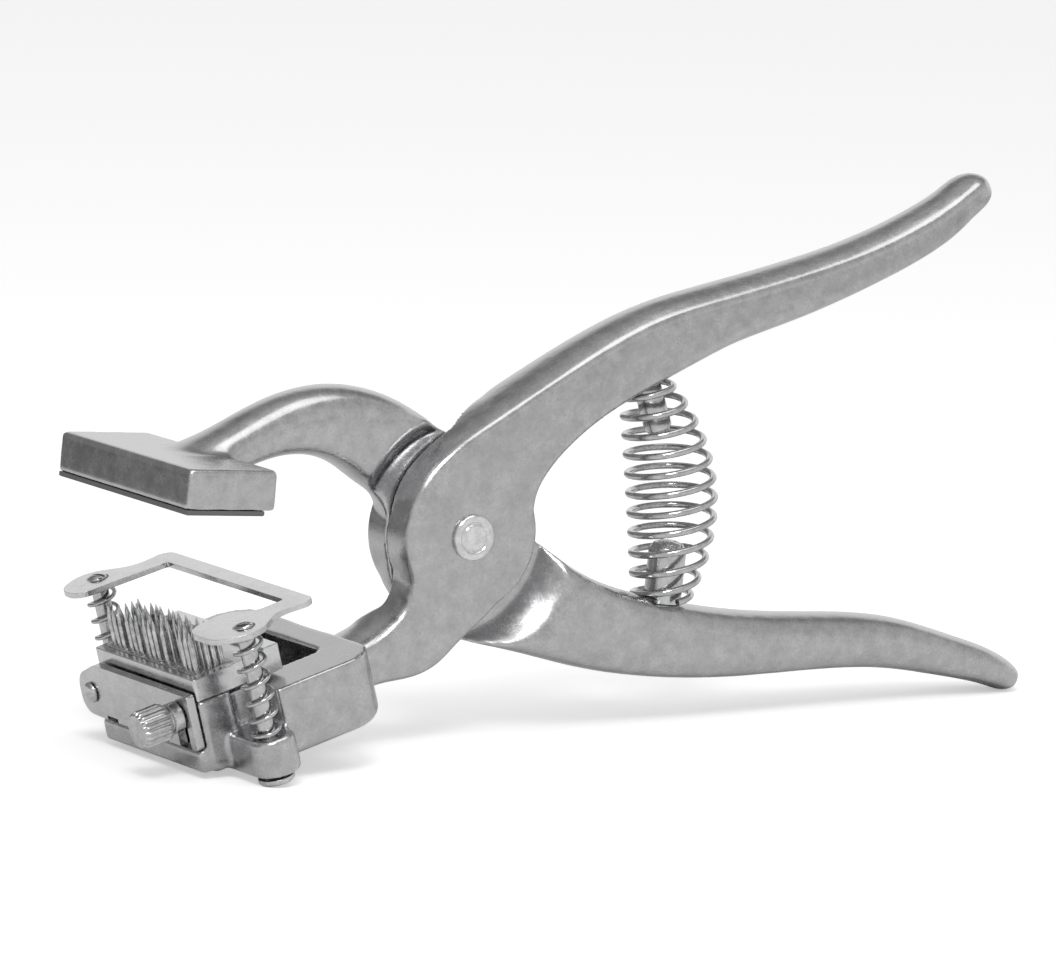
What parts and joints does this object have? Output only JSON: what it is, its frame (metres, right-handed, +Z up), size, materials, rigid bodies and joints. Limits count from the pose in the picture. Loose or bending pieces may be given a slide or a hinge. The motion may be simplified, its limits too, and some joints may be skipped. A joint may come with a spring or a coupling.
{
  "type": "tattoo pliers",
  "caption": "Ear tattoo pliers: lapped cast levers on a rivet, a barrel spring between the handles, a needle type cassette behind a swinging latch, a release frame and a padded anvil.",
  "frame": {"origin": "middle of the base of the bounding box; the pliers stand on the two post nuts and the lower handle's end, jaws open", "axes": "+X from the jaws to the handle ends, +Y to the far side along the pivot, +Z up"},
  "size_m": [0.2584, 0.0772, 0.1276],
  "materials": {
    "nickel_plated_casting": "satin nickel plate over a cast surface",
    "bright_steel": "bright turned steel",
    "spring_steel": "bright drawn wire",
    "pad_rubber": "dark matt rubber",
    "type_metal": "plated block with polished needles"
  },
  "bodies": {
    "front_lever": {"front_lever": "nickel_plated_casting", "pivot_rivet": "bright_steel", "upper_spring_stud": "bright_steel", "handle_spring": "spring_steel", "type_cassette": "nickel_plated_casting", "type_1": "type_metal", "type_2": "type_metal", "type_3": "type_metal", "type_4": "type_metal", "type_5": "type_metal", "latch_screw": "bright_steel", "post_spring_near": "spring_steel", "post_spring_far": "spring_steel"},
    "rear_lever": {"rear_lever": "nickel_plated_casting", "anvil_pad": "pad_rubber", "lower_spring_stud": "bright_steel"},
    "release_frame": {"release_frame": "nickel_plated_casting", "guide_post_near": "bright_steel", "guide_post_far": "bright_steel", "frame_screw_near": "bright_steel", "frame_screw_far": "bright_steel", "post_nut_near": "bright_steel", "post_nut_far": "bright_steel"},
    "latch_plate": {"latch_plate": "nickel_plated_casting"},
    "thumb_screw": {"thumb_screw": "bright_steel"}
  },
  "joints": [
    {"name": "lever_pivot", "type": "hinge", "parent": "front_lever", "child": "rear_lever", "pos_m": [-0.03499, 0, 0.04879], "axis": [0, -1, 0], "range_deg": [0, 19.65], "stiffness_Nm_per_rad": 7, "springref_deg": -22.92, "deforming": ["handle_spring"]},
    {"name": "release_slide", "type": "slide", "parent": "front_lever", "child": "release_frame", "axis": [0.2716, 0, -0.9624], "range_m": [0, 0.007], "deforming": ["post_spring_near", "post_spring_far"]},
    {"name": "latch_swing", "type": "hinge", "parent": "front_lever", "child": "latch_plate", "pos_m": [-0.11582, 0.0231, 0.01268], "axis": [-0.9624, 0, -0.2716], "range_deg": [0, 130]},
    {"name": "thumb_turn", "type": "hinge", "parent": "front_lever", "child": "thumb_screw", "pos_m": [-0.11733, -0.0172, 0.01433], "axis": [0.9624, 0, 0.2716], "range_deg": [0, 540]}
  ],
  "couplings": [
    {"joint": "release_slide", "follows": "lever_pivot", "m_per_rad": 0.020409}
  ]
}
